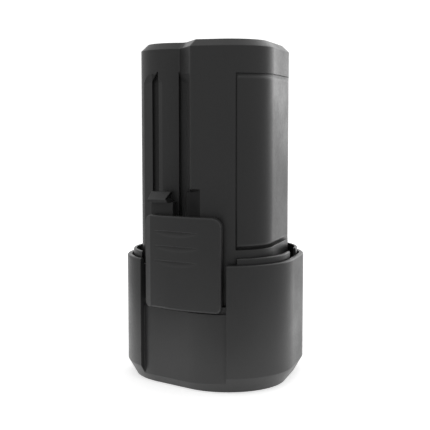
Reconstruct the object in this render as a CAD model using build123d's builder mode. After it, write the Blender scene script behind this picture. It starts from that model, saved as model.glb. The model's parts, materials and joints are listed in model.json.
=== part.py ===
from build123d import *
import math
import os

# Slide-in stick battery pack: three cylindrical cells in a triangle inside a
# lobed tower, a round cup-shaped foot, and a sprung release button on each
# side. Millimetres. +Z up, the pack stands on Z = 0. +X is the side with the
# flat facet, -X is the side with the single rear lobe, the buttons are at
# -Y (left) and +Y (right). Apart from a gap in the foot's lip, the outside is
# symmetric about the XZ plane.

# ---------------------------------------------------------------- dimensions
# overall
total_height = 91.5
top_chamfer = 1.8
crown_inset = 1.9

# cells (18650 size)
cell_radius = 9.1
cell_length = 65.0
cell_base_z = 12.4
rear_cell_x = -9.1
front_cell_x = 7.0
front_cell_y = 9.2

# tower section
rear_lobe_radius = 11.6
front_lobe_radius = 12.0
front_lobe_y = 8.3
crest_x, crest_radius = -0.3, 1.0
valley_x, valley_y = -6.2, 11.2
tower_wall = 1.7

# hollowed flank of the valley, below the cap zone
step_x, step_y = -6.4, 10.55
flank_hollow = 0.7
ramp_z0, ramp_slope = 80.4, 3.2

# pocket in the crest beside the latch arm
pocket_outer_x, pocket_inner = 2.4, (-3.4, 14.0)
pocket_z0, pocket_top_inner, pocket_top_outer = 41.0, 51.6, 52.9

# room for the cells inside the tower, before the wall is taken off
room_valley_x, room_valley_y = -4.9, 10.8
room_crest_x, room_crest_radius = 0.8, 4.0

tower_bottom_z = 3.2
top_wall = 2.0

# bare label area, wrapped round the flat facet
label_recess = 0.28
label_bottom_z, label_top_z = 37.2, 82.8
label_edge_x = 11.7

# keying groove and flat land on the rear lobe
groove_x0, groove_x1 = -14.7, -12.4
groove_floor_y0, groove_floor_y1 = 8.8, 9.85
groove_top_z0, groove_top_z1 = 81.1, 84.0
land_angle, land_distance = 241.0, 10.97
land_top_z = 80.9

# cup-shaped foot: hull of one rear circle and two front circles
foot_rear_x, foot_rear_r = -4.9, 19.7
foot_front_x, foot_front_y, foot_front_r = 5.6, 5.6, 18.4
foot_rim_z = 33.6
foot_bevel_height = 4.1
foot_bevel_inset = 2.35
floor_thickness = 3.0
foot_wall = 2.5
outer_skin = 1.2
rim_groove = 0.55
rim_groove_depth = 1.6
lip_top_z = 35.2
lip_rear_x, lip_front_x = -16.3, 12.5
lip_gap_y0, lip_gap_y1 = -2.1, 5.2
deck_z0, deck_z1 = 24.6, 26.6

# button opening and the recessed panel below it
notch_x0, notch_x1 = -15.8, 10.4
panel_top_z = 22.6
panel_inset, panel_shift_x = 0.95, 0.55
panel_thickness = 1.8
panel_rebate = 1.55

# release buttons
plate_x0, plate_x1 = -13.85, 9.2
plate_z0, plate_z1 = 21.2, 45.9
plate_proud = 0.8
plate_inner = -1.1
plate_corner_top = 2.5
plate_corner_bottom = 1.4
plate_side_bevel, plate_side_drop = 2.1, 0.8
relief_y, relief_z = 21.34, 34.0
arm_x0, arm_x1 = -12.4, -6.3
arm_y_inner, arm_y_outer = 14.4, 16.8
hook_z0, hook_z1 = 49.1, 51.8
hook_reach_y = 19.1
hook_x0, hook_x1 = -12.6, -6.8
pivot_y, pivot_z = 15.0, 25.5
pin_radius = 1.0
pin_clearance = 0.06
knuckle_radius = 2.1
ear_x0, ear_x1 = -9.55, -6.8
knuckle_spans = [(-12.5, -9.85), (-6.5, -4.66)]
spring_x, spring_z = -4.3, 39.0
spring_seat_y = 16.0
spring_plate_y = 19.6
spring_radius = 1.4
spring_wire_radius = 0.25

# base screws
screw_points = [(-16.0, 0.0), (13.6, 12.1), (13.6, -12.1)]
screw_radius = 1.25
screw_head_radius = 2.4
screw_head_depth = 1.6
screw_length = 7.6

# inner stack
board_z = 81.0
board_thickness = 1.2
block_top_z = 89.3
slot_width = 1.8
slot_ys = [-7.5, -2.5, 2.5, 7.5]
slot_x0, slot_x1 = 1.5, 12.5

os.makedirs("parts", exist_ok=True)


# ------------------------------------------------------------------ outlines
def foot_outline(off, shift=0.0):
    """Rounded plan of the foot, moved out by off: a closed wire of six edges."""
    rx, rr = foot_rear_x + shift, foot_rear_r + off
    fx, fy, fr = foot_front_x + shift, foot_front_y, foot_front_r + off
    length = math.hypot(fx - rx, fy)
    normal = math.atan2(fy, fx - rx) + math.acos((rr - fr) / length)
    nx, ny = math.cos(normal), math.sin(normal)
    mid = normal / 2
    with BuildLine() as line:
        ThreePointArc((rx + rr * nx, -rr * ny), (rx - rr, 0), (rx + rr * nx, rr * ny))
        Line((rx + rr * nx, rr * ny), (fx + fr * nx, fy + fr * ny))
        ThreePointArc(
            (fx + fr * nx, fy + fr * ny),
            (fx + fr * math.cos(mid), fy + fr * math.sin(mid)),
            (fx + fr, fy),
        )
        Line((fx + fr, fy), (fx + fr, -fy))
        ThreePointArc(
            (fx + fr, -fy),
            (fx + fr * math.cos(mid), -fy - fr * math.sin(mid)),
            (fx + fr * nx, -fy - fr * ny),
        )
        Line((fx + fr * nx, -fy - fr * ny), (rx + rr * nx, -rr * ny))
    return line.line


def lobed_plan(vx, vy, cx, radius, off, soft):
    """Three-lobed plan, moved out by off. The slanted flanks run from the
    valley corners (vx, +-vy) to the crests at cx, rounded by radius."""
    rr = rear_lobe_radius + off
    fr = front_lobe_radius + off
    fy = front_lobe_y
    cy = fy + front_lobe_radius
    q = math.sqrt(0.5)
    # flank line, outward normal (-nx, ny) on the +Y side
    dx, dy = cx - vx, cy - vy
    run = math.hypot(dx, dy)
    nx, ny = -dy / run, dx / run
    reach = nx * cx + ny * cy + off
    crest = ((reach - ny * (cy + off)) / nx, cy + off)
    # where the flank meets the rear lobe's circle
    near = reach - nx * rear_cell_x
    along = math.sqrt(rr * rr - near * near)
    vxo = rear_cell_x + near * nx + along * ny
    vyo = near * ny + along * (-nx)
    with BuildSketch() as plan:
        with BuildLine():
            Line((front_cell_x + fr, -fy), (front_cell_x + fr, fy))
            ThreePointArc((front_cell_x + fr, fy), (front_cell_x + fr * q, fy + fr * q), (front_cell_x, fy + fr))
            Line((front_cell_x, fy + fr), crest)
            Line(crest, (vxo, vyo))
            ThreePointArc((vxo, vyo), (rear_cell_x - rr, 0), (vxo, -vyo))
            Line((vxo, -vyo), (crest[0], -crest[1]))
            Line((crest[0], -crest[1]), (front_cell_x, -fy - fr))
            ThreePointArc((front_cell_x, -fy - fr), (front_cell_x + fr * q, -fy - fr * q), (front_cell_x + fr, -fy))
        make_face()
        if soft:
            corners = plan.vertices().filter_by(lambda v: abs(v.X - crest[0]) < 0.01 and abs(v.Y) > 5)
            fillet(corners, max(0.35, radius + off))
            corners = plan.vertices().filter_by(lambda v: abs(v.X - vxo) < 0.01 and abs(abs(v.Y) - vyo) < 0.01)
            fillet(corners, 0.6 - off)
    return plan.sketch


def tower_face(off=0.0, soft=True):
    """Outside plan of the tower in its cap zone, moved out by off."""
    return lobed_plan(valley_x, valley_y, crest_x, crest_radius, off, soft)


def cell_room(off=0.0):
    """Plan round the three cells, moved out by off."""
    return lobed_plan(room_valley_x, room_valley_y, room_crest_x, room_crest_radius, off, True)


def on_foot(x, off=0.0):
    """Half width of the foot plan at x."""
    rx, rr = foot_rear_x, foot_rear_r + off
    fx, fr = foot_front_x, foot_front_r + off
    length = math.hypot(fx - rx, foot_front_y)
    n = math.atan2(foot_front_y, fx - rx) + math.acos((rr - fr) / length)
    ax, ay = rx + rr * math.cos(n), rr * math.sin(n)
    bx, by = fx + fr * math.cos(n), foot_front_y + fr * math.sin(n)
    if x <= ax:
        return math.sqrt(rr * rr - (x - rx) ** 2)
    if x < bx:
        return ay + (by - ay) * (x - ax) / (bx - ax)
    return foot_front_y + math.sqrt(fr * fr - (x - fx) ** 2)


def circle_through(a, b, c):
    """Centre and radius of the circle through three points."""
    (ax, ay), (bx, by), (cx, cy) = a, b, c
    d = 2 * (ax * (by - cy) + bx * (cy - ay) + cx * (ay - by))
    a2, b2, c2 = ax * ax + ay * ay, bx * bx + by * by, cx * cx + cy * cy
    ux = (a2 * (by - cy) + b2 * (cy - ay) + c2 * (ay - by)) / d
    uy = (a2 * (cx - bx) + b2 * (ax - cx) + c2 * (bx - ax)) / d
    return ux, uy, math.hypot(ax - ux, ay - uy)


def side_wedge(sign):
    """Plan of the button opening: sides run in along the foot's normals."""
    y0, y1 = on_foot(notch_x0), on_foot(notch_x1)
    n0 = math.atan2(y0, notch_x0 - foot_rear_x)
    n1 = math.atan2(y1 - foot_front_y, notch_x1 - foot_front_x)
    pts = []
    for x, y, n, r in (
        (notch_x0, y0, n0, 4.0),
        (notch_x0, y0, n0, -7.5),
        (notch_x1, y1, n1, -7.5),
        (notch_x1, y1, n1, 4.0),
    ):
        pts.append((x + r * math.cos(n), sign * (y + r * math.sin(n))))
    return pts


# ----------------------------------------------------------------- base_cup
with BuildPart() as base_cup:
    # bevel at the bottom, then the straight wall
    with BuildSketch(Plane.XY):
        add(foot_outline(-foot_bevel_inset))
        make_face()
    with BuildSketch(Plane.XY.offset(foot_bevel_height)):
        add(foot_outline(0))
        make_face()
    loft(ruled=True)
    with BuildSketch(Plane.XY.offset(foot_bevel_height)):
        add(foot_outline(0))
        make_face()
    extrude(amount=foot_rim_z - foot_bevel_height)
    rim_edges = base_cup.faces().sort_by(Axis.Z)[-1].edges()
    fillet(rim_edges, 0.45)
    # inner lip, taller than the skin
    with BuildSketch(Plane.XY.offset(foot_rim_z - rim_groove_depth - 0.5)):
        add(foot_outline(-outer_skin - rim_groove))
        make_face()
    extrude(amount=lip_top_z - foot_rim_z + rim_groove_depth + 0.5)
    lip_edges = base_cup.faces().sort_by(Axis.Z)[-1].edges()
    fillet(lip_edges, 0.3)
    # cavity
    with BuildSketch(Plane.XY.offset(floor_thickness)):
        add(foot_outline(-foot_wall))
        make_face()
    extrude(amount=40, mode=Mode.SUBTRACT)
    # narrow groove between skin and lip
    with BuildSketch(Plane.XY.offset(foot_rim_z - rim_groove_depth)):
        add(foot_outline(-outer_skin))
        make_face()
        with BuildLine():
            add(foot_outline(-outer_skin - rim_groove))
        make_face(mode=Mode.SUBTRACT)
    extrude(amount=3, mode=Mode.SUBTRACT)
    for sign in (-1, 1):
        # recessed panel: cut the skin back, then back it up inside
        with BuildSketch(Plane.XY.offset(0)):
            with BuildLine():
                Polyline(*side_wedge(sign), close=True)
            make_face()
            with BuildLine():
                add(foot_outline(-panel_inset, panel_shift_x))
            make_face(mode=Mode.SUBTRACT)
        extrude(amount=panel_top_z, mode=Mode.SUBTRACT)
        with BuildSketch(Plane.XY.offset(foot_bevel_height)):
            with BuildLine():
                Polyline(*side_wedge(sign), close=True)
            make_face()
            with BuildLine():
                add(foot_outline(-panel_inset, panel_shift_x))
            make_face(mode=Mode.INTERSECT)
            with BuildLine():
                add(foot_outline(-panel_inset - panel_thickness, panel_shift_x))
            make_face(mode=Mode.SUBTRACT)
            add(tower_face(0.2, soft=False), mode=Mode.SUBTRACT)
        extrude(amount=panel_top_z - foot_bevel_height)
        # rebate in the panel's top for the lower edge of the button
        with BuildSketch(Plane.XY.offset(plate_z0 - 0.4)):
            with BuildLine():
                Polyline(*side_wedge(sign), close=True)
            make_face()
            with BuildLine():
                add(foot_outline(-panel_rebate))
            make_face(mode=Mode.SUBTRACT)
        extrude(amount=3, mode=Mode.SUBTRACT)
        # button opening through skin and lip
        with BuildSketch(Plane.XY.offset(panel_top_z)):
            with BuildLine():
                Polyline(*side_wedge(sign), close=True)
            make_face()
        extrude(amount=20, mode=Mode.SUBTRACT)
        # lip stops short of the opening at the front
        with BuildSketch(Plane.XY.offset(foot_rim_z - rim_groove_depth)):
            with BuildLine():
                add(foot_outline(-outer_skin))
            make_face()
            with Locations(((notch_x1 + lip_front_x) / 2 - 1, sign * 21)):
                Rectangle(lip_front_x - notch_x1 + 2, 12, mode=Mode.INTERSECT)
        extrude(amount=6, mode=Mode.SUBTRACT)
        # and at the rear
        with BuildSketch(Plane.XY.offset(foot_rim_z - rim_groove_depth)):
            with BuildLine():
                add(foot_outline(-outer_skin))
            make_face()
            with Locations(((lip_rear_x - 12.0) / 2, sign * 14)):
                Rectangle(-12.0 - lip_rear_x, 10, mode=Mode.INTERSECT)
        extrude(amount=6, mode=Mode.SUBTRACT)
        # hinge post for the button
        post_x0, post_x1 = ear_x0, ear_x1
        with BuildSketch(Plane.YZ.offset(post_x0)):
            with BuildLine():
                Polyline(
                    (sign * 12.95, floor_thickness - 0.5),
                    (sign * 17.2, floor_thickness - 0.5),
                    (sign * 17.1, pivot_z),
                    (sign * 12.95, pivot_z),
                    close=True,
                )
            make_face()
            with Locations((sign * pivot_y, pivot_z)):
                Circle(knuckle_radius)
        extrude(amount=post_x1 - post_x0)
        with BuildSketch(Plane.YZ.offset(post_x0 - 1)):
            with Locations((sign * pivot_y, pivot_z)):
                Circle(pin_radius)
        extrude(amount=post_x1 - post_x0 + 2, mode=Mode.SUBTRACT)
    # gap in the lip on the flat side
    with BuildSketch(Plane.XY.offset(foot_rim_z - rim_groove_depth)):
        with Locations((21.75, (lip_gap_y0 + lip_gap_y1) / 2)):
            Rectangle(2.1, lip_gap_y1 - lip_gap_y0)
    extrude(amount=6, mode=Mode.SUBTRACT)
    # screw holes with counterbores under the floor
    with Locations(*[Location((x, y, 0), (180, 0, 0)) for x, y in screw_points]):
        CounterBoreHole(
            radius=screw_radius + 0.15,
            counter_bore_radius=screw_head_radius + 0.25,
            counter_bore_depth=screw_head_depth + 0.1,
            depth=floor_thickness + 1,
        )
base_cup.part.label = "base_cup"
export_step(base_cup.part, "parts/base_cup.step")

# ------------------------------------------------------------- tower_housing
crown_z = total_height - top_chamfer


def make_valley_cut():
    """Hollow of the +Y flank below the cap zone, with a ramp at its upper end."""
    crest = (crest_x, front_lobe_y + front_lobe_radius)
    run = Vector(crest[0] - step_x, crest[1] - step_y, 0)
    out = Vector(-run.Y, run.X, 0).normalized()
    mid = Vector(step_x, step_y, 0) + run * 0.5
    low = mid - out * flank_hollow
    with BuildPart() as cut:
        with BuildSketch(Plane.XY.offset(tower_bottom_z - 1)):
            with BuildLine():
                ThreePointArc((step_x, step_y), (low.X, low.Y), crest)
                Polyline(crest, (step_x, crest[1] + 2), (step_x, step_y))
            make_face()
        extrude(amount=90)
        with BuildSketch(Plane(origin=(low.X, low.Y, 0), x_dir=out, z_dir=out.cross(Vector(0, 0, 1)))):
            with BuildLine():
                Polyline((-2, 0), (9, 0), (9, ramp_z0 + 9 * ramp_slope), (-2, ramp_z0 - 2 * ramp_slope), close=True)
            make_face()
        extrude(amount=12, both=True, mode=Mode.INTERSECT)
    return cut.part


def make_pocket_cut():
    """Slanted pocket in the +Y crest beside the latch arm."""
    crest_y = front_lobe_y + front_lobe_radius
    with BuildPart() as cut:
        with BuildSketch(Plane.XY.offset(pocket_z0)):
            with BuildLine():
                Polyline(
                    (pocket_outer_x, crest_y), pocket_inner, (-5.5, pocket_inner[1] + 0.5),
                    (-5.5, crest_y + 2), (pocket_outer_x, crest_y + 2),
                    close=True,
                )
            make_face()
        extrude(amount=15)
        slope = (pocket_top_outer - pocket_top_inner) / (crest_y - pocket_inner[1])
        y0, y1 = pocket_inner[1] - 1, crest_y + 3
        with BuildSketch(Plane.YZ.offset(-8)):
            with BuildLine():
                Polyline(
                    (y0, pocket_z0 - 1), (y1, pocket_z0 - 1),
                    (y1, pocket_top_outer + slope * (y1 - crest_y)),
                    (y0, pocket_top_inner - slope * (pocket_inner[1] - y0)),
                    close=True,
                )
            make_face()
        extrude(amount=16, mode=Mode.INTERSECT)
    return cut.part


def make_key_cut():
    """Keying groove in the rear lobe on the +Y side, with a slanted top end."""
    slope = (groove_top_z1 - groove_top_z0) / (groove_x1 - groove_x0)
    with BuildPart() as cut:
        with BuildSketch(Plane.XY.offset(28)):
            with BuildLine():
                Polyline(
                    (groove_x0, groove_floor_y0), (groove_x1, groove_floor_y1),
                    (groove_x1, 14), (groove_x0, 14),
                    close=True,
                )
            make_face()
        extrude(amount=62)
        with BuildSketch(Plane.XZ):
            with BuildLine():
                Polyline(
                    (groove_x0 - 1, 27), (groove_x1 + 1, 27),
                    (groove_x1 + 1, groove_top_z1 + slope), (groove_x0 - 1, groove_top_z0 - slope),
                    close=True,
                )
            make_face()
        extrude(amount=-20, mode=Mode.INTERSECT)
    return cut.part


valley_cut, key_cut, pocket_cut = make_valley_cut(), make_key_cut(), make_pocket_cut()
with BuildPart() as tower_housing:
    with BuildSketch(Plane.XY.offset(tower_bottom_z)):
        add(tower_face())
    extrude(amount=crown_z - tower_bottom_z)
    # bevelled crown
    with BuildSketch(Plane.XY.offset(crown_z)):
        add(tower_face())
    with BuildSketch(Plane.XY.offset(total_height)):
        add(tower_face(-crown_inset))
    loft(ruled=True)
    # the valleys are deeper below the cap zone
    add(valley_cut, mode=Mode.SUBTRACT)
    mirror(valley_cut, about=Plane.XZ, mode=Mode.SUBTRACT)
    add(pocket_cut, mode=Mode.SUBTRACT)
    mirror(pocket_cut, about=Plane.XZ, mode=Mode.SUBTRACT)
    # bare label area, a shallow recess wrapped round the facet
    with BuildSketch(Plane.XY.offset(label_bottom_z)):
        add(tower_face(1.0, soft=False))
        add(tower_face(-label_recess), mode=Mode.SUBTRACT)
        with Locations((label_edge_x + 10, 0)):
            Rectangle(20, 60, mode=Mode.INTERSECT)
    extrude(amount=label_top_z - label_bottom_z, mode=Mode.SUBTRACT)
    for sign in (-1, 1):
        # flat land down the rear lobe, ramped at its top
        outward = Vector(
            math.cos(math.radians(land_angle)), -sign * math.sin(math.radians(land_angle)), 0
        )
        with BuildSketch(
            Plane(origin=(rear_cell_x, 0, 0), x_dir=outward, z_dir=outward.cross(Vector(0, 0, 1)))
        ):
            with BuildLine():
                Polyline(
                    (land_distance, deck_z1), (land_distance + 3, deck_z1),
                    (land_distance + 3, land_top_z + 11.4), (land_distance, land_top_z),
                    close=True,
                )
            make_face()
        extrude(amount=4.2, both=True, mode=Mode.SUBTRACT)
        # spring seat boss in the valley
        with BuildSketch(Plane.XZ.offset(-sign * 10.4)):
            with Locations((spring_x, spring_z)):
                Circle(1.7)
        extrude(amount=-sign * (spring_seat_y - 10.4))
    # keying grooves, cut in the lands
    add(key_cut, mode=Mode.SUBTRACT)
    mirror(key_cut, about=Plane.XZ, mode=Mode.SUBTRACT)
    # deck that closes the trough round the tower
    with BuildSketch(Plane.XY.offset(deck_z0)):
        with BuildLine():
            add(foot_outline(-foot_wall - 0.12))
        make_face()
        for sign in (-1, 1):
            with BuildLine():
                Polyline(*side_wedge(sign), close=True)
            make_face(mode=Mode.SUBTRACT)
        with Locations((-2.5, 0)):
            Rectangle(27.5, 60, mode=Mode.SUBTRACT)
    extrude(amount=deck_z1 - deck_z0)
    # cavity for the cells, open at the bottom
    with BuildSketch(Plane.XY.offset(tower_bottom_z - 1)):
        add(cell_room(-tower_wall))
    extrude(amount=total_height - top_wall - tower_bottom_z + 1, mode=Mode.SUBTRACT)
    # ribs that back the wall behind the keying grooves
    with BuildSketch(Plane.XY.offset(deck_z1)):
        with Locations((rear_cell_x, 0)):
            Circle(rear_lobe_radius - tower_wall + 0.3)
            Circle(cell_radius + 0.3, mode=Mode.SUBTRACT)
        with Locations(((groove_x0 + groove_x1) / 2, 0)):
            Rectangle(3.0, 30, mode=Mode.INTERSECT)
    extrude(amount=71.4 - deck_z1)
    # screw bosses below the cells
    with BuildSketch(Plane.XY.offset(tower_bottom_z)):
        with Locations(*screw_points):
            Circle(3.3)
        add(cell_room(-0.4), mode=Mode.INTERSECT)
    extrude(amount=8.2)
    with Locations(*[Location((x, y, tower_bottom_z), (180, 0, 0)) for x, y in screw_points]):
        Hole(radius=screw_radius, depth=7.0)
    # contact slots through the top
    with BuildSketch(Plane.XY.offset(total_height)):
        for y in slot_ys:
            with Locations(((slot_x0 + slot_x1) / 2, y)):
                Rectangle(slot_x1 - slot_x0, slot_width)
    extrude(amount=-top_wall - 2, mode=Mode.SUBTRACT)
    slot_rim = tower_housing.faces().sort_by(Axis.Z)[-1].inner_wires().edges()
    chamfer(slot_rim, 0.5)
tower_housing.part.label = "tower_housing"
export_step(tower_housing.part, "parts/tower_housing.step")

# ----------------------------------------------------------- release buttons
# the thumb plate is one cylinder that follows the foot's plan
grip_top_zs = [41.9, 38.0, 34.1]
grip_x0, grip_x1 = -10.9, 3.1
grip_height, grip_depth = 1.6, 0.56
plate_cx, plate_cy, plate_r = circle_through(
    *[(x, on_foot(x, plate_proud)) for x in (plate_x0, (plate_x0 + plate_x1) / 2, plate_x1)]
)
plate_thickness = plate_proud - plate_inner


def make_button(sign):
    with BuildPart() as button:
        # curved thumb plate, clipped by its front view
        with BuildSketch(Plane.XY.offset(plate_z0 - 1)):
            with Locations((plate_cx, sign * plate_cy)):
                Circle(plate_r)
                Circle(plate_r - plate_thickness, mode=Mode.SUBTRACT)
        extrude(amount=plate_z1 - plate_z0 + 2)
        with BuildSketch(Plane.XZ) as front_view:
            with BuildLine():
                Polyline(
                    (plate_x0, plate_z0), (plate_x1, plate_z0),
                    (plate_x1, plate_z1), (plate_x0, plate_z1),
                    close=True,
                )
            make_face()
            fillet(front_view.vertices().filter_by(lambda v: v.Y > plate_z1 - 1), plate_corner_top)
            fillet(front_view.vertices().filter_by(lambda v: v.Y < plate_z0 + 1), plate_corner_bottom)
        extrude(amount=-sign * 40, mode=Mode.INTERSECT)
        # wide bevel down the rear side
        inner = (plate_x0, plate_cy + math.sqrt((plate_r - plate_side_drop) ** 2 - (plate_x0 - plate_cx) ** 2))
        outer_x = plate_x0 + plate_side_bevel
        outer = (outer_x, plate_cy + math.sqrt(plate_r**2 - (outer_x - plate_cx) ** 2))
        run = math.hypot(outer[0] - inner[0], outer[1] - inner[1])
        dx, dy = (outer[0] - inner[0]) / run, (outer[1] - inner[1]) / run
        with BuildSketch(Plane.XY.offset(plate_z0 - 1)):
            with BuildLine():
                Polyline(
                    (inner[0] - dx, sign * (inner[1] - dy)),
                    (outer[0] + 3 * dx, sign * (outer[1] + 3 * dy)),
                    (outer[0] + 3 * dx - 3 * dy, sign * (outer[1] + 3 * dy + 3 * dx)),
                    (inner[0] - dx - 3 * dy, sign * (inner[1] - dy + 3 * dx)),
                    close=True,
                )
            make_face()
        extrude(amount=plate_z1 - plate_z0 + 2, mode=Mode.SUBTRACT)
        front = max(
            button.faces().filter_by(GeomType.CYLINDER).filter_by(lambda f: f.area > 300),
            key=lambda f: f.center().Y * sign,
        )
        fillet(front.edges(), 0.55)
        # rebate along the lower edge, clear of the recessed panel
        with BuildSketch(Plane.XY.offset(plate_z0 - 1)):
            with Locations((plate_cx, sign * plate_cy)):
                Circle(plate_r - plate_thickness + 0.4)
        extrude(amount=panel_top_z + 0.4 - plate_z0 + 1, mode=Mode.SUBTRACT)
        # relief on the inner face, clear of the tower's crest when pressed
        with BuildSketch(Plane.YZ.offset(-2.0)):
            with BuildLine():
                Polyline(
                    (sign * 18, relief_z), (sign * relief_y, relief_z),
                    (sign * (relief_y + 13 * 0.079), relief_z + 13), (sign * 18, relief_z + 13),
                    close=True,
                )
            make_face()
        extrude(amount=7.0, mode=Mode.SUBTRACT)
        # three finger grooves: steep under the upper edge, ramped below, and
        # running out to nothing at both ends
        grip_x = (grip_x0 + grip_x1) / 2
        ux = (grip_x - plate_cx) / plate_r
        radial = Vector(ux, sign * math.sqrt(1 - ux * ux), 0)
        floor_r = plate_r - grip_depth
        for z in grip_top_zs:
            with BuildSketch(
                Plane(
                    origin=(plate_cx, sign * plate_cy, 0), x_dir=radial, z_dir=radial.cross(Vector(0, 0, 1))
                )
            ):
                with BuildLine():
                    Polyline(
                        (floor_r, z - 0.1), (floor_r + 1.2, z + 0.2),
                        (floor_r + 1.2, z - 0.5 - 1.2 / grip_depth * (grip_height - 0.5)),
                        (floor_r, z - 0.5),
                        close=True,
                    )
                make_face()
            extrude(amount=8.5, both=True, mode=Mode.SUBTRACT)
        # latch arm behind the plate, with the hook on its upper end
        with BuildSketch(Plane.XY.offset(ear_top_z)):
            with BuildLine():
                Polyline(
                    (arm_x0, sign * arm_y_inner), (arm_x1, sign * arm_y_inner),
                    (arm_x1, sign * 20.3), (-9.5, sign * 19.0), (arm_x0, sign * 17.3),
                    close=True,
                )
            make_face()
        extrude(amount=plate_z1 - 0.9 - ear_top_z)
        with BuildSketch(Plane.XY.offset(ear_top_z)):
            with Locations(((arm_x0 + arm_x1) / 2, sign * (arm_y_inner + arm_y_outer) / 2)):
                Rectangle(arm_x1 - arm_x0, arm_y_outer - arm_y_inner)
        extrude(amount=hook_z0 - ear_top_z)
        with BuildSketch(Plane.YZ.offset(hook_x0)):
            with BuildLine():
                Polyline(
                    (sign * arm_y_inner, hook_z0 - 0.6), (sign * (arm_y_outer - 0.4), hook_z0 - 0.6),
                    (sign * (arm_y_outer + 0.1), hook_z0), (sign * hook_reach_y, hook_z0),
                    (sign * hook_reach_y, hook_z0 + 0.75), (sign * (arm_y_inner + 1.6), hook_z1),
                    (sign * arm_y_inner, hook_z1),
                    close=True,
                )
            make_face()
        extrude(amount=hook_x1 - hook_x0)
        # sloped right end of the hook
        with BuildSketch(Plane.XZ.offset(-sign * 12)):
            with BuildLine():
                Polyline(
                    (hook_x1 + 0.4, hook_z1 + 0.3), (hook_x1 + 0.4, hook_z0 + 0.4),
                    (hook_x1 - 0.2, hook_z0 - 0.02), (hook_x1 - 0.9, hook_z0 + 0.9),
                    (hook_x1 - 0.25, hook_z1 + 0.3),
                    close=True,
                )
            make_face()
        extrude(amount=-sign * 10, mode=Mode.SUBTRACT)
        # hinge knuckles and the webs that carry them
        for x0, x1 in knuckle_spans:
            with BuildSketch(Plane.YZ.offset(x0)):
                with Locations((sign * pivot_y, pivot_z)):
                    Circle(knuckle_radius)
                with BuildLine():
                    reach_y = plate_cy + math.sqrt((plate_r - plate_thickness + 0.5) ** 2 - (x0 - plate_cx) ** 2)
                    Polyline(
                        (sign * pivot_y, pivot_z - knuckle_radius), (sign * reach_y, pivot_z - knuckle_radius),
                        (sign * reach_y, pivot_z + knuckle_radius), (sign * pivot_y, pivot_z + knuckle_radius),
                        close=True,
                    )
                make_face()
            extrude(amount=x1 - x0)
        with BuildSketch(Plane.YZ.offset(-14)):
            with Locations((sign * pivot_y, pivot_z)):
                Circle(pin_radius + pin_clearance)
        extrude(amount=12, mode=Mode.SUBTRACT)
        # flat seat and stud for the return spring
        with BuildSketch(Plane.XZ.offset(-sign * spring_plate_y)):
            with Locations((spring_x, spring_z)):
                Circle(2.1)
        extrude(amount=-sign * 1.6)
        with BuildSketch(Plane.XZ.offset(-sign * (spring_plate_y - 1.2))):
            with Locations((spring_x, spring_z)):
                Circle(0.85)
        extrude(amount=-sign * 1.6)
    return button


ear_top_z = pivot_z + knuckle_radius + 0.9
release_button_left = make_button(-1)
release_button_left.part.label = "release_button_left"
export_step(release_button_left.part, "parts/release_button_left.step")
release_button_right = make_button(1)
release_button_right.part.label = "release_button_right"
export_step(release_button_right.part, "parts/release_button_right.step")

# ---------------------------------------------------- hinge pins and springs
pin_x0, pin_x1 = knuckle_spans[0][0] - 0.1, knuckle_spans[1][1] + 0.1


def make_pin(sign):
    with BuildPart() as pin:
        with BuildSketch(Plane.YZ.offset(pin_x0)):
            with Locations((sign * pivot_y, pivot_z)):
                Circle(pin_radius)
        extrude(amount=pin_x1 - pin_x0)
        chamfer(pin.edges().filter_by(GeomType.CIRCLE), 0.2)
    return pin


hinge_pin_left = make_pin(-1)
hinge_pin_left.part.label = "hinge_pin_left"
export_step(hinge_pin_left.part, "parts/hinge_pin_left.step")
hinge_pin_right = make_pin(1)
hinge_pin_right.part.label = "hinge_pin_right"
export_step(hinge_pin_right.part, "parts/hinge_pin_right.step")

spring_span = spring_plate_y - spring_seat_y - 2 * spring_wire_radius - 0.06


def make_spring(sign):
    start = sign * (spring_seat_y + spring_wire_radius + 0.03)
    with BuildPart() as spring:
        with BuildLine():
            coil = Helix(
                pitch=spring_span / 3.5,
                height=spring_span,
                radius=spring_radius,
                center=(spring_x, start, spring_z),
                direction=(0, sign, 0),
            )
        with BuildSketch(Plane(origin=coil @ 0, z_dir=coil % 0)):
            Circle(spring_wire_radius)
        sweep()
    return spring


button_spring_left = make_spring(-1)
button_spring_left.part.label = "button_spring_left"
export_step(button_spring_left.part, "parts/button_spring_left.step")
button_spring_right = make_spring(1)
button_spring_right.part.label = "button_spring_right"
export_step(button_spring_right.part, "parts/button_spring_right.step")

# --------------------------------------------------------------------- cells
can_radius = cell_radius - 0.1
nub_height, nub_radius = 0.8, 3.1
cell_top_z = cell_base_z + cell_length


def make_cell(x, y, upside_down):
    """Can with crimp groove, rounded foot and a raised positive nub."""
    with BuildPart() as cell:
        low, high = (0.0, cell_length - nub_height)
        profile = [
            (0, low), (can_radius - 0.7, low), (can_radius, low + 0.7),
            (can_radius, high - 3.2), (can_radius - 0.55, high - 2.7),
            (can_radius, high - 2.2), (can_radius, high - 0.5),
            (can_radius - 0.5, high), (nub_radius, high),
            (nub_radius, high + nub_height - 0.2), (nub_radius - 0.3, high + nub_height),
            (0, high + nub_height),
        ]
        if upside_down:
            profile = [(r, cell_length - h) for r, h in profile]
        with BuildSketch(Plane.XZ):
            with BuildLine():
                Polyline(*[(r, cell_base_z + h) for r, h in profile], close=True)
            make_face()
        revolve(axis=Axis.Z)
    return cell.part.moved(Location((x, y, 0)))


cell_places = {
    "cell_left": (front_cell_x, -front_cell_y, False),
    "cell_right": (front_cell_x, front_cell_y, False),
    "cell_rear": (rear_cell_x, 0.0, True),
}
for name, (x, y, flip) in cell_places.items():
    cell = make_cell(x, y, flip)
    cell.label = name
    export_step(cell, "parts/" + name + ".step")

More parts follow.
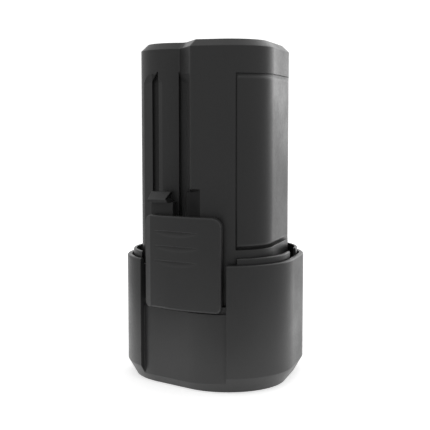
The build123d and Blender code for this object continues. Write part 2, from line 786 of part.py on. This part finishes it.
cell_xy = [(x, y) for x, y, _ in cell_places.values()]
with BuildPart() as cell_sleeves:
    with BuildSketch(Plane.XY.offset(cell_base_z + 0.75)):
        with Locations(*cell_xy):
            Circle(cell_radius)
        with Locations(*cell_xy):
            Circle(can_radius + 0.01, mode=Mode.SUBTRACT)
    extrude(amount=cell_length - 2.4)
cell_sleeves.part.label = "cell_sleeves"
export_step(cell_sleeves.part, "parts/cell_sleeves.step")

ring_thickness = 0.3
with BuildPart() as insulator_rings:
    for x, y, flip in cell_places.values():
        z = cell_base_z + nub_height - ring_thickness if flip else cell_top_z - nub_height
        with BuildSketch(Plane.XY.offset(z)):
            with Locations((x, y)):
                Circle(8.0)
                Circle(nub_radius + 0.3, mode=Mode.SUBTRACT)
        extrude(amount=ring_thickness)
insulator_rings.part.label = "insulator_rings"
export_step(insulator_rings.part, "parts/insulator_rings.step")

# -------------------------------------------------------------- cell holders
holder_plan = cell_room(-tower_wall - 0.2)
lead_x = 1.58


strip_width = 7.0
left_xy, right_xy, rear_xy = cell_xy
strip_routes = {
    "series_strip_lower": [left_xy, (rear_xy[0] + 4, -2.2), rear_xy],
    "nickel_strip_negative": [right_xy, (4.2, 3.6)],
    "series_strip_upper": [right_xy, (rear_xy[0] + 4, 2.2), rear_xy],
    "nickel_strip_positive": [left_xy, (9.5, -5.2)],
}


def strip_plan(points, width):
    """Plan of a strip through the given points, with round ends."""
    with BuildSketch() as plan:
        for (xa, ya), (xb, yb) in zip(points[:-1], points[1:]):
            angle = math.degrees(math.atan2(yb - ya, xb - xa))
            with Locations(Location(((xa + xb) / 2, (ya + yb) / 2, 0), (0, 0, angle))):
                Rectangle(math.hypot(xb - xa, yb - ya), width)
        with Locations(*points):
            Circle(width / 2)
    return plan.sketch


def make_holder(z0, z1, pocket_z0, pocket_z1, routes, channel_z0, channel_z1):
    with BuildPart() as holder:
        with BuildSketch(Plane.XY.offset(z0)):
            add(holder_plan)
        extrude(amount=z1 - z0)
        with BuildSketch(Plane.XY.offset(pocket_z0)):
            with Locations(*cell_xy):
                Circle(cell_radius + 0.02)
        extrude(amount=pocket_z1 - pocket_z0, mode=Mode.SUBTRACT)
        # windows over the cell ends, joined for the strips
        with BuildSketch(Plane.XY.offset(z0)):
            with Locations(*cell_xy):
                Circle(7.4)
            with Locations((lead_x, 0)):
                Rectangle(8, 15)
            with Locations((14.6, 0)):
                Rectangle(3.4, 3.4)
        extrude(amount=z1 - z0, mode=Mode.SUBTRACT)
        # channels for the welded strips
        with BuildSketch(Plane.XY.offset(channel_z0)):
            for name in routes:
                add(strip_plan(strip_routes[name], strip_width + 0.5))
        extrude(amount=channel_z1 - channel_z0, mode=Mode.SUBTRACT)
    return holder


cell_holder_lower = make_holder(
    11.6, 17.5, cell_base_z, 17.5,
    ("series_strip_lower", "nickel_strip_negative"), 11.6, cell_base_z + 0.05,
)
cell_holder_lower.part.label = "cell_holder_lower"
export_step(cell_holder_lower.part, "parts/cell_holder_lower.step")
cell_holder_upper = make_holder(
    72.0, 78.4, 72.0, cell_top_z,
    ("series_strip_upper", "nickel_strip_positive"), cell_top_z - 0.05, 78.4,
)
cell_holder_upper.part.label = "cell_holder_upper"
export_step(cell_holder_upper.part, "parts/cell_holder_upper.step")

# ------------------------------------------------- nickel strips and a lead
strip_thickness = 0.2


def make_strip(name, z, tab=None):
    """Flat welded strip, with an upright tab where it meets the board."""
    with BuildPart() as strip:
        with BuildSketch(Plane.XY.offset(z)):
            add(strip_plan(strip_routes[name], strip_width))
        extrude(amount=strip_thickness)
        if tab:
            x, y, height = tab
            with BuildSketch(Plane.XY.offset(z)):
                with Locations((x, y)):
                    Rectangle(strip_thickness, 3.0)
            extrude(amount=height)
    return strip


series_strip_lower = make_strip("series_strip_lower", cell_base_z - strip_thickness)
series_strip_lower.part.label = "series_strip_lower"
export_step(series_strip_lower.part, "parts/series_strip_lower.step")
nickel_strip_negative = make_strip("nickel_strip_negative", cell_base_z - strip_thickness)
nickel_strip_negative.part.label = "nickel_strip_negative"
export_step(nickel_strip_negative.part, "parts/nickel_strip_negative.step")
series_strip_upper = make_strip("series_strip_upper", cell_top_z)
series_strip_upper.part.label = "series_strip_upper"
export_step(series_strip_upper.part, "parts/series_strip_upper.step")
nickel_strip_positive = make_strip(
    "nickel_strip_positive", cell_top_z, tab=(12.2, -4.6, board_z - cell_top_z)
)
nickel_strip_positive.part.label = "nickel_strip_positive"
export_step(nickel_strip_positive.part, "parts/nickel_strip_positive.step")

lead_radius = 0.7
with BuildPart() as negative_lead:
    with BuildSketch(Plane.XY.offset(cell_base_z)):
        with Locations((lead_x, 0)):
            Circle(lead_radius)
    extrude(amount=board_z - cell_base_z)
negative_lead.part.label = "negative_lead"
export_step(negative_lead.part, "parts/negative_lead.step")

# ------------------------------------------------------ insulation and board
with BuildPart() as insulating_sheet:
    with BuildSketch(Plane.XY.offset(78.7)):
        add(holder_plan)
        with Locations((lead_x, 0)):
            Circle(1.3, mode=Mode.SUBTRACT)
        with Locations((12.2, -4.6)):
            Rectangle(1.4, 4.2, mode=Mode.SUBTRACT)
        with Locations((14.6, 0)):
            Rectangle(1.6, 4.0, mode=Mode.SUBTRACT)
    extrude(amount=0.3)
insulating_sheet.part.label = "insulating_sheet"
export_step(insulating_sheet.part, "parts/insulating_sheet.step")

with BuildPart() as foam_pad:
    with BuildSketch(Plane.XY.offset(5.2)):
        add(cell_room(-tower_wall - 0.5))
        with Locations(*screw_points):
            Circle(3.6, mode=Mode.SUBTRACT)
    extrude(amount=6.3)
    fillet(foam_pad.edges().filter_by(Axis.Z).filter_by(lambda e: abs(e.center().X) > 14), 0.3)
foam_pad.part.label = "foam_pad"
export_step(foam_pad.part, "parts/foam_pad.step")

board_top_z = board_z + board_thickness
with BuildPart() as circuit_board:
    with BuildSketch(Plane.XY.offset(board_z)):
        add(cell_room(-tower_wall - 0.35))
        with Locations((-17.2, 0)):
            Circle(1.0, mode=Mode.SUBTRACT)
    extrude(amount=board_thickness)
circuit_board.part.label = "circuit_board"
export_step(circuit_board.part, "parts/circuit_board.step")

with BuildPart() as mosfets:
    with BuildSketch(Plane.XY.offset(board_top_z)):
        with Locations((-6.0, -4.2), (-6.0, 4.2)):
            RectangleRounded(6.2, 5.6, 0.3)
    extrude(amount=2.2)
    with BuildSketch(Plane.XY.offset(board_top_z)):
        with Locations((-10.2, -4.2), (-10.2, 4.2)):
            Rectangle(2.4, 4.8)
    extrude(amount=0.5)
mosfets.part.label = "mosfets"
export_step(mosfets.part, "parts/mosfets.step")

with BuildPart() as control_chip:
    with BuildSketch(Plane.XY.offset(board_top_z)):
        with Locations((-15.2, 0)):
            RectangleRounded(3.6, 5.0, 0.2)
    extrude(amount=1.4)
    chamfer(control_chip.faces().sort_by(Axis.Z)[-1].edges(), 0.2)
control_chip.part.label = "control_chip"
export_step(control_chip.part, "parts/control_chip.step")

with BuildPart() as thermistor:
    with BuildSketch(Plane.XY.offset(66.0)):
        with Locations((14.6, 0)):
            Circle(1.4)
    extrude(amount=4.6)
    fillet(thermistor.edges().filter_by(GeomType.CIRCLE), 0.9)
    with BuildSketch(Plane.XY.offset(69.8)):
        with Locations((14.6, -0.7), (14.6, 0.7)):
            Circle(0.3)
    extrude(amount=board_z - 69.8)
thermistor.part.label = "thermistor"
export_step(thermistor.part, "parts/thermistor.step")

# -------------------------------------------------- terminal block, contacts
block_x0, block_x1, block_half_y = 0.2, 13.8, 9.9
clip_gauge, clip_gap = 0.4, 0.9
with BuildPart() as terminal_block:
    with BuildSketch(Plane.XY.offset(board_top_z)):
        with Locations(((block_x0 + block_x1) / 2, 0)):
            RectangleRounded(block_x1 - block_x0, 2 * block_half_y, 1.0)
    extrude(amount=block_top_z - board_top_z)
    with BuildSketch(Plane.XY.offset(block_top_z)):
        for y in slot_ys:
            with Locations(((slot_x0 + slot_x1) / 2, y)):
                Rectangle(slot_x1 - slot_x0, 2.6)
    extrude(amount=-(block_top_z - board_top_z - 0.8), mode=Mode.SUBTRACT)
terminal_block.part.label = "terminal_block"
export_step(terminal_block.part, "parts/terminal_block.step")


def make_contact(y):
    """Two sprung leaves that pinch a blade, joined by a foot."""
    z0 = board_top_z + 0.85
    half = clip_gap / 2 + clip_gauge
    with BuildPart() as contact:
        with BuildSketch(Plane.YZ.offset(slot_x0 + 1.0)):
            with BuildLine():
                Polyline(
                    (y - 1.2, z0), (y + 1.2, z0),
                    (y + 1.2, z0 + 0.9), (y + 0.2 + clip_gauge, z0 + 4.0), (y + 0.75 + clip_gauge, z0 + 5.6),
                    (y + 0.75, z0 + 5.6), (y + 0.2, z0 + 4.0), (y + 1.2 - clip_gauge, z0 + 0.9),
                    (y + 1.2 - clip_gauge, z0 + clip_gauge),
                    (y - 1.2 + clip_gauge, z0 + clip_gauge), (y - 1.2 + clip_gauge, z0 + 0.9),
                    (y - 0.2, z0 + 4.0), (y - 0.75, z0 + 5.6),
                    (y - 0.75 - clip_gauge, z0 + 5.6), (y - 0.2 - clip_gauge, z0 + 4.0), (y - 1.2, z0 + 0.9),
                    close=True,
                )
            make_face()
        extrude(amount=slot_x1 - slot_x0 - 2.0)
    return contact


for name, y in zip(("contact_positive", "contact_sense", "contact_data", "contact_negative"), slot_ys):
    contact = make_contact(y)
    contact.part.label = name
    export_step(contact.part, "parts/" + name + ".step")

# --------------------------------------------------------------- base screws
with BuildPart() as base_screws:
    head_z = 0.1
    with BuildSketch(Plane.XY.offset(head_z)):
        with Locations(*screw_points):
            Circle(screw_head_radius)
    extrude(amount=screw_head_depth - 0.1)
    fillet(base_screws.edges().filter_by(GeomType.CIRCLE).filter_by(lambda e: e.center().Z < head_z + 0.05), 0.5)
    with BuildSketch(Plane.XY.offset(head_z + screw_head_depth - 0.1)):
        with Locations(*screw_points):
            Circle(screw_radius - 0.05)
    extrude(amount=screw_length)
    with BuildSketch(Plane.XY.offset(head_z)):
        with Locations(*screw_points):
            RegularPolygon(1.15, 6)
    extrude(amount=1.0, mode=Mode.SUBTRACT)
base_screws.part.label = "base_screws"
export_step(base_screws.part, "parts/base_screws.step")
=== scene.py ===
import json
import math

import bmesh
import bpy
from mathutils import Matrix, Vector


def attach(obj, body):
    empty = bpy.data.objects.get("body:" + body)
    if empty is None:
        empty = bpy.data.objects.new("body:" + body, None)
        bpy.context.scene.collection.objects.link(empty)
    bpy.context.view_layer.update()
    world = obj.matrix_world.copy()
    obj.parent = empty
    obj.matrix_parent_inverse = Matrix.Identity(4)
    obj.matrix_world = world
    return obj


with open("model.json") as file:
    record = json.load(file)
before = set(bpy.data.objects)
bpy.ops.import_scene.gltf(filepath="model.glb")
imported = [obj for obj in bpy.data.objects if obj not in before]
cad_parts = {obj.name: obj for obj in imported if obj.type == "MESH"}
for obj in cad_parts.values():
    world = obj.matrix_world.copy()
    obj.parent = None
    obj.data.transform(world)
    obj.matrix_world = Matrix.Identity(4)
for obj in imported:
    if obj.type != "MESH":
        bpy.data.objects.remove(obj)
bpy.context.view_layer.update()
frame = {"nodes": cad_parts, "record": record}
nodes = frame["nodes"]
MM = 0.001


# ------------------------------------------------------------------ materials
def new_material(name):
    mat = bpy.data.materials.new(name)
    mat.use_nodes = True
    tree = mat.node_tree
    for n in list(tree.nodes):
        tree.nodes.remove(n)
    out = tree.nodes.new("ShaderNodeOutputMaterial")
    shader = tree.nodes.new("ShaderNodeBsdfPrincipled")
    tree.links.new(shader.outputs["BSDF"], out.inputs["Surface"])
    return mat, tree, shader


def noise(tree, scale, detail=2.0, rough=0.5, coord=None):
    node = tree.nodes.new("ShaderNodeTexNoise")
    node.inputs["Scale"].default_value = scale
    node.inputs["Detail"].default_value = detail
    node.inputs["Roughness"].default_value = rough
    if coord is not None:
        tree.links.new(coord, node.inputs["Vector"])
    return node.outputs["Fac"]


def ramp(tree, fac, lo, hi, to_lo, to_hi):
    node = tree.nodes.new("ShaderNodeMapRange")
    node.inputs["From Min"].default_value = lo
    node.inputs["From Max"].default_value = hi
    node.inputs["To Min"].default_value = to_lo
    node.inputs["To Max"].default_value = to_hi
    tree.links.new(fac, node.inputs["Value"])
    return node.outputs["Result"]


def maths(tree, op, a, b=None):
    node = tree.nodes.new("ShaderNodeMath")
    node.operation = op
    for i, v in enumerate((a, b)):
        if v is None:
            continue
        if isinstance(v, (int, float)):
            node.inputs[i].default_value = v
        else:
            tree.links.new(v, node.inputs[i])
    return node.outputs[0]


def mix_rgb(tree, fac, a, b):
    node = tree.nodes.new("ShaderNodeMix")
    node.data_type = "RGBA"
    for socket, v in ((node.inputs["Factor"], fac), (node.inputs["A"], a), (node.inputs["B"], b)):
        if isinstance(v, (int, float)):
            socket.default_value = v
        elif isinstance(v, tuple):
            socket.default_value = (*v, 1.0)
        else:
            tree.links.new(v, socket)
    return node.outputs["Result"]


def moulded_plastic(name, grey, rough, grain=1.0, wear_and_highlight=1.0):
    """Spark-textured moulded plastic: fine grain, faint flow clouds, edges lightened partly as rubbed wear and
    partly as painted highlight.
    """
    mat, tree, shader = new_material(name)
    coord = tree.nodes.new("ShaderNodeTexCoord").outputs["Object"]
    fine = noise(tree, 5200.0, 3.0, 0.55, coord)
    medium = noise(tree, 1500.0, 2.0, 0.5, coord)
    cloud = noise(tree, 95.0, 3.0, 0.55, coord)
    broad = noise(tree, 28.0, 2.0, 0.5, coord)
    # edges lightened where a rounded normal leaves the true one: partly rubbed wear, partly painted highlight
    bevel = tree.nodes.new("ShaderNodeBevel")
    bevel.samples = 4
    bevel.inputs["Radius"].default_value = 0.00028
    geom = tree.nodes.new("ShaderNodeNewGeometry")
    dot = tree.nodes.new("ShaderNodeVectorMath")
    dot.operation = "DOT_PRODUCT"
    tree.links.new(bevel.outputs["Normal"], dot.inputs[0])
    tree.links.new(geom.outputs["Normal"], dot.inputs[1])
    edge = ramp(tree, dot.outputs["Value"], 0.995, 0.80, 0.0, 1.0)
    edge = maths(tree, "MULTIPLY", edge, ramp(tree, cloud, 0.38, 0.62, 0.25, 1.0))
    edge = maths(tree, "MULTIPLY", edge, 0.55 * wear_and_highlight)
    # colour
    base = mix_rgb(tree, ramp(tree, broad, 0.3, 0.7, 0.0, 1.0),
                   (grey * 0.90, grey * 0.91, grey * 0.93), (grey * 1.10, grey * 1.10, grey * 1.10))
    base = mix_rgb(tree, ramp(tree, fine, 0.40, 0.75, 0.0, 0.35), base, (grey * 1.7, grey * 1.7, grey * 1.7))
    # lighter colour on the edges: rubbed wear and painted highlight
    base = mix_rgb(tree, edge, base, (grey * 2.6, grey * 2.6, grey * 2.55))
    tree.links.new(base, shader.inputs["Base Color"])
    # roughness
    r = ramp(tree, cloud, 0.3, 0.7, rough - 0.045, rough + 0.045)
    r = maths(tree, "ADD", r, ramp(tree, medium, 0.3, 0.7, -0.03, 0.03))
    r = maths(tree, "SUBTRACT", r, maths(tree, "MULTIPLY", edge, 0.14))
    tree.links.new(r, shader.inputs["Roughness"])
    # grain
    bump = tree.nodes.new("ShaderNodeBump")
    bump.inputs["Strength"].default_value = 0.35 * grain
    bump.inputs["Distance"].default_value = 0.00005
    height = maths(tree, "ADD", fine, maths(tree, "MULTIPLY", medium, 0.8))
    tree.links.new(height, bump.inputs["Height"])
    tree.links.new(bevel.outputs["Normal"], bump.inputs["Normal"])
    tree.links.new(bump.outputs["Normal"], shader.inputs["Normal"])
    return mat


def metal(name, rgb, rough, scratch=1.0, direction=(1.0, 1.0, 30.0)):
    mat, tree, shader = new_material(name)
    coord = tree.nodes.new("ShaderNodeTexCoord").outputs["Object"]
    mapping = tree.nodes.new("ShaderNodeMapping")
    mapping.inputs["Scale"].default_value = direction
    tree.links.new(coord, mapping.inputs["Vector"])
    lines = noise(tree, 900.0, 3.0, 0.6, mapping.outputs["Vector"])
    cloud = noise(tree, 160.0, 3.0, 0.6, coord)
    base = mix_rgb(tree, ramp(tree, cloud, 0.35, 0.7, 0.0, 1.0),
                   tuple(c * 0.82 for c in rgb), rgb)
    tree.links.new(base, shader.inputs["Base Color"])
    shader.inputs["Metallic"].default_value = 1.0
    r = ramp(tree, lines, 0.3, 0.7, rough - 0.08, rough + 0.10)
    tree.links.new(r, shader.inputs["Roughness"])
    bump = tree.nodes.new("ShaderNodeBump")
    bump.inputs["Strength"].default_value = 0.15 * scratch
    bump.inputs["Distance"].default_value = 0.00003
    tree.links.new(lines, bump.inputs["Height"])
    tree.links.new(bump.outputs["Normal"], shader.inputs["Normal"])
    return mat


def soft_plastic(name, rgb, rough, scale=700.0, strength=0.2, variation=0.12):
    mat, tree, shader = new_material(name)
    coord = tree.nodes.new("ShaderNodeTexCoord").outputs["Object"]
    fine = noise(tree, scale, 3.0, 0.6, coord)
    cloud = noise(tree, scale * 0.12, 3.0, 0.6, coord)
    base = mix_rgb(tree, ramp(tree, cloud, 0.3, 0.7, 0.0, 1.0),
                   tuple(c * (1 - variation) for c in rgb), tuple(min(1.0, c * (1 + variation)) for c in rgb))
    tree.links.new(base, shader.inputs["Base Color"])
    tree.links.new(ramp(tree, cloud, 0.3, 0.7, rough - 0.05, rough + 0.05), shader.inputs["Roughness"])
    bump = tree.nodes.new("ShaderNodeBump")
    bump.inputs["Strength"].default_value = strength
    bump.inputs["Distance"].default_value = 0.00004
    tree.links.new(fine, bump.inputs["Height"])
    tree.links.new(bump.outputs["Normal"], shader.inputs["Normal"])
    return mat


HOUSING = moulded_plastic("housing_moulded", 0.0190, 0.38)
BUTTON = moulded_plastic("button_moulded", 0.0200, 0.42, grain=0.7)
LABEL = moulded_plastic("blank_label", 0.0165, 0.37, grain=0.25, wear_and_highlight=0.1)
# a darker, duller plastic used as painted shade in the keying grooves, pockets and finger grooves
PAINTED_SHADE = moulded_plastic("housing_painted_shade", 0.0135, 0.60, grain=0.6, wear_and_highlight=0.3)
PAINTED_SHADE.node_tree.nodes["Principled BSDF"].inputs["Specular IOR Level"].default_value = 0.30

slot_look = {
    "housing_plastic": HOUSING,
    "button_plastic": BUTTON,
    "steel": metal("ground_steel", (0.60, 0.60, 0.61), 0.28),
    "spring_steel": metal("music_wire", (0.48, 0.48, 0.49), 0.33),
    "screw_steel": metal("black_oxide", (0.045, 0.045, 0.048), 0.42),
    "cell_can": metal("nickel_plate", (0.62, 0.62, 0.63), 0.25),
    "cell_sleeve": soft_plastic("shrink_film", (0.02, 0.10, 0.22), 0.28, 300.0, 0.12),
    "insulator": soft_plastic("fish_paper", (0.62, 0.62, 0.58), 0.75, 900.0, 0.4),
    "holder_plastic": soft_plastic("holder_moulded", (0.055, 0.055, 0.06), 0.5, 1500.0, 0.2),
    "nickel": metal("nickel_strip_metal", (0.63, 0.61, 0.57), 0.30),
    "lead_sleeve": soft_plastic("wire_insulation", (0.012, 0.012, 0.012), 0.42, 600.0, 0.1),
    "foam": soft_plastic("closed_cell_foam", (0.03, 0.03, 0.032), 0.9, 1600.0, 0.9),
    "board": soft_plastic("solder_mask", (0.010, 0.085, 0.028), 0.25, 1200.0, 0.1),
    "chip_black": soft_plastic("chip_package", (0.014, 0.014, 0.015), 0.5, 1800.0, 0.3),
    "thermistor_coating": soft_plastic("epoxy_bead", (0.30, 0.15, 0.035), 0.2, 500.0, 0.1),
    "terminal_plastic": soft_plastic("terminal_moulded", (0.016, 0.016, 0.018), 0.45, 1500.0, 0.25),
    "contact_metal": metal("spring_brass", (0.70, 0.47, 0.20), 0.24),
}
slot_of = {s["node"]: s["material_slot"] for s in frame["record"]["subparts"]}
for name, obj in nodes.items():
    look = slot_look[slot_of[name]]
    obj.data.materials.clear()
    obj.data.materials.append(look)


# --------------------------------------------------------------- painted shade on groove faces
# faces deep in the keying grooves and in the pockets beside the latch arms get the darker, duller material: painted
# shade where the geometry gives too little
tower_mesh = nodes["tower_housing"].data
tower_mesh.materials.append(PAINTED_SHADE)
for face in tower_mesh.polygons:
    x, y, z = face.center
    if -0.01475 < x < -0.01235 and 0.0080 < abs(y) < 0.0113 and 0.0270 < z < 0.0838:
        face.material_index = 1
    # the pocket is a slanted plane through (2.4, 20.3) and (-3.4, 14.0) mm
    across = abs((x - 0.0024) * 0.0063 - (abs(y) - 0.0203) * 0.0058) / 0.008563
    if across < 0.00006 and -0.0035 < x < 0.0025 and 0.0405 < z < 0.0535:
        face.material_index = 1


# the narrow faces under the upper edges of the finger grooves get the darker material too: painted shade
for button_name in ("release_button_left", "release_button_right"):
    button_mesh = nodes[button_name].data
    button_mesh.materials.append(PAINTED_SHADE)
    for face in button_mesh.polygons:
        corners = [button_mesh.vertices[i].co for i in face.vertices]
        for top in (0.0419, 0.0380, 0.0341):
            if all(-0.0125 < c.x < 0.0045 and abs(c.y) > 0.0215
                   and top - 0.00056 < c.z < top + 0.00015 for c in corners):
                face.material_index = 1


# --------------------------------------------------------------- blank label
def label_film():
    """Thin blank film in the label recess, wrapped round the facet."""
    lift, gap = 0.00023, 0.00006
    radius = 0.0120 - 0.00028 + lift
    x_edge = 0.0117 + gap
    cx, cy = 0.0070, 0.0083
    start = math.acos((x_edge - cx) / radius)
    plan = []
    for i in range(25):
        t = start * (1 - i / 24)
        plan.append((cx + radius * math.cos(t), -cy - radius * math.sin(t)))
    for i in range(1, 12):
        plan.append((cx + radius, -cy + 2 * cy * i / 12))
    for i in range(25):
        t = start * i / 24
        plan.append((cx + radius * math.cos(t), cy + radius * math.sin(t)))
    z0, z1, rows = 0.0372 + gap, 0.0828 - gap, 30
    bm = bmesh.new()
    grid = [[bm.verts.new((x, y, z0 + (z1 - z0) * j / rows)) for x, y in plan] for j in range(rows + 1)]
    for j in range(rows):
        for i in range(len(plan) - 1):
            bm.faces.new((grid[j][i], grid[j][i + 1], grid[j + 1][i + 1], grid[j + 1][i]))
    bm.normal_update()
    for f in bm.faces:
        f.smooth = True
    mesh = bpy.data.meshes.new("label_film")
    bm.to_mesh(mesh)
    bm.free()
    obj = bpy.data.objects.new("label_film", mesh)
    bpy.context.scene.collection.objects.link(obj)
    solid = obj.modifiers.new("thickness", "SOLIDIFY")
    solid.thickness = 0.00012
    solid.offset = -1.0
    mesh.materials.append(LABEL)
    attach(obj, "housing")
    return obj


label_film()


# --------------------------------------------------------------- stage, light
def area_light(name, loc, target, size, power, size_y=None):
    data = bpy.data.lights.new(name, "AREA")
    data.shape = "RECTANGLE"
    data.size = size
    data.size_y = size_y or size
    data.energy = power
    obj = bpy.data.objects.new(name, data)
    bpy.context.scene.collection.objects.link(obj)
    obj.location = loc
    obj.rotation_mode = "QUATERNION"
    obj.rotation_quaternion = (Vector(target) - Vector(loc)).to_track_quat("-Z", "Y")
    return obj


AZ = math.radians(17.0)
AIM = math.radians(17.0 + 0.03)
centre = Vector((0.0004, 0.0, 0.0))
eye = centre + Vector((math.sin(AZ) * 0.268, -math.cos(AZ) * 0.268, 0.070))
pitch = math.radians(5.50 - 0.03)
forward = Vector((-math.sin(AIM) * math.cos(pitch), math.cos(AIM) * math.cos(pitch), -math.sin(pitch)))
cam_data = bpy.data.cameras.new("camera")
cam_data.sensor_width = 36.0
cam_data.lens = 960.0 * 36.0 / 430.0
cam_data.clip_start = 0.01
cam = bpy.data.objects.new("camera", cam_data)
bpy.context.scene.collection.objects.link(cam)
cam.location = eye
cam.rotation_mode = "QUATERNION"
cam.rotation_quaternion = forward.to_track_quat("-Z", "Y")
bpy.context.scene.camera = cam

FLOOR_DIM, FLOOR_GLOW, FLOOR_GREY = 0.0, 0.55, 0.50
floor_mesh = bpy.data.meshes.new("floor")
s = 3.0
floor_mesh.from_pydata([(-s, -s, -0.0001), (s, -s, -0.0001), (s, s, -0.0001), (-s, s, -0.0001)], [], [(0, 1, 2, 3)])
floor = bpy.data.objects.new("floor", floor_mesh)
bpy.context.scene.collection.objects.link(floor)
fmat, ftree, fshader = new_material("floor_paint_and_glow")
f_split = ftree.nodes.new("ShaderNodeSeparateXYZ")
ftree.links.new(ftree.nodes.new("ShaderNodeTexCoord").outputs["Object"], f_split.inputs[0])
fshader.inputs["Roughness"].default_value = 0.9
fshader.inputs["Specular IOR Level"].default_value = 0.1
fshader.inputs["Emission Color"].default_value = (1.0, 1.0, 1.0, 1.0)
# the floor glows where it is in view (painted light that keeps it white and its contact shadow faint); the sweep
# falls off to a light grey in front of the object and beside it
f_back = maths(ftree, "ADD", maths(ftree, "MULTIPLY", f_split.outputs["X"], -math.sin(AZ)),
               maths(ftree, "MULTIPLY", f_split.outputs["Y"], math.cos(AZ)))
f_side = maths(ftree, "ADD", maths(ftree, "MULTIPLY", f_split.outputs["X"], math.cos(AZ)),
               maths(ftree, "MULTIPLY", f_split.outputs["Y"], math.sin(AZ)))
f_turn = maths(ftree, "DIVIDE", f_side, maths(ftree, "MAXIMUM", maths(ftree, "ADD", f_back, 0.268), 0.05))
f_lit = maths(ftree, "MULTIPLY", ramp(ftree, f_back, -0.075, -0.053, 0.0, 1.0),
              maths(ftree, "MULTIPLY", ramp(ftree, f_turn, -0.36, -0.25, 0.0, 1.0),
                    ramp(ftree, f_turn, 0.25, 0.60, 1.0, 0.0)))
# emission strength: painted light glowing from the floor
ftree.links.new(ramp(ftree, f_lit, 0.0, 1.0, FLOOR_DIM, FLOOR_GLOW), fshader.inputs["Emission Strength"])
ftree.links.new(mix_rgb(ftree, f_lit, (FLOOR_GREY,) * 3, (0.9, 0.9, 0.9)), fshader.inputs["Base Color"])
floor_mesh.materials.append(fmat)

# a soft surround: dim in front of the object, bright behind it
world = bpy.data.worlds.new("studio")
bpy.context.scene.world = world
world.use_nodes = True
wt = world.node_tree
bg = wt.nodes["Background"]
bg.inputs["Color"].default_value = (1.0, 1.0, 1.0, 1.0)
w_coord = wt.nodes.new("ShaderNodeTexCoord").outputs["Generated"]


def toward(direction):
    node = wt.nodes.new("ShaderNodeVectorMath")
    node.operation = "DOT_PRODUCT"
    node.inputs[1].default_value = direction
    wt.links.new(w_coord, node.inputs[0])
    return node.outputs["Value"]


def world_ramp(value, lo, hi, to_lo, to_hi):
    node = wt.nodes.new("ShaderNodeMapRange")
    node.interpolation_type = "SMOOTHSTEP"
    node.inputs["From Min"].default_value = lo
    node.inputs["From Max"].default_value = hi
    node.inputs["To Min"].default_value = to_lo
    node.inputs["To Max"].default_value = to_hi
    wt.links.new(value, node.inputs["Value"])
    return node.outputs["Result"]


BACK = (-math.sin(AZ), math.cos(AZ), 0.0)
SIDE = (math.cos(AZ), math.sin(AZ), 0.0)
UP = (0.0, 0.0, 1.0)
LIGHT = dict(even=0.55, rear_wide=0.0, rear=0.0, rear_narrow=0.62, left=0.0, right=0.05,
             up=0.26, up_rear=0.0, rear_left=0.0, rear_right=1.52)
rear_side = world_ramp(toward(BACK), 0.2, 0.8, 0.0, 1.0)
above = world_ramp(toward(UP), 0.15, 0.9, 0.0, 1.0)
lobes = {
    "rear_wide": world_ramp(toward(BACK), -0.2, 0.5, 0.0, 1.0),
    "rear": world_ramp(toward(BACK), 0.5, 1.0, 0.0, 1.0),
    "rear_narrow": world_ramp(toward(BACK), 0.8, 1.0, 0.0, 1.0),
    "left": world_ramp(toward(SIDE), -0.2, -0.9, 0.0, 1.0),
    "right": world_ramp(toward(SIDE), 0.2, 0.9, 0.0, 1.0),
    "up": above,
    "up_rear": maths(wt, "MULTIPLY", above, world_ramp(toward(BACK), -0.3, 0.5, 0.0, 1.0)),
    "rear_left": maths(wt, "MULTIPLY", rear_side, world_ramp(toward(SIDE), 0.0, -0.6, 0.0, 1.0)),
    "rear_right": maths(wt, "MULTIPLY", rear_side, world_ramp(toward(SIDE), 0.0, 0.6, 0.0, 1.0)),
}
strength = LIGHT["even"]
for lobe_name, lobe in lobes.items():
    strength = maths(wt, "ADD", strength, maths(wt, "MULTIPLY", lobe, LIGHT[lobe_name]))
wt.links.new(strength, bg.inputs["Strength"])

view = bpy.context.scene.view_settings
view.view_transform = "Standard"
view.look = "None"
view.exposure = 0.0
view.gamma = 1.0
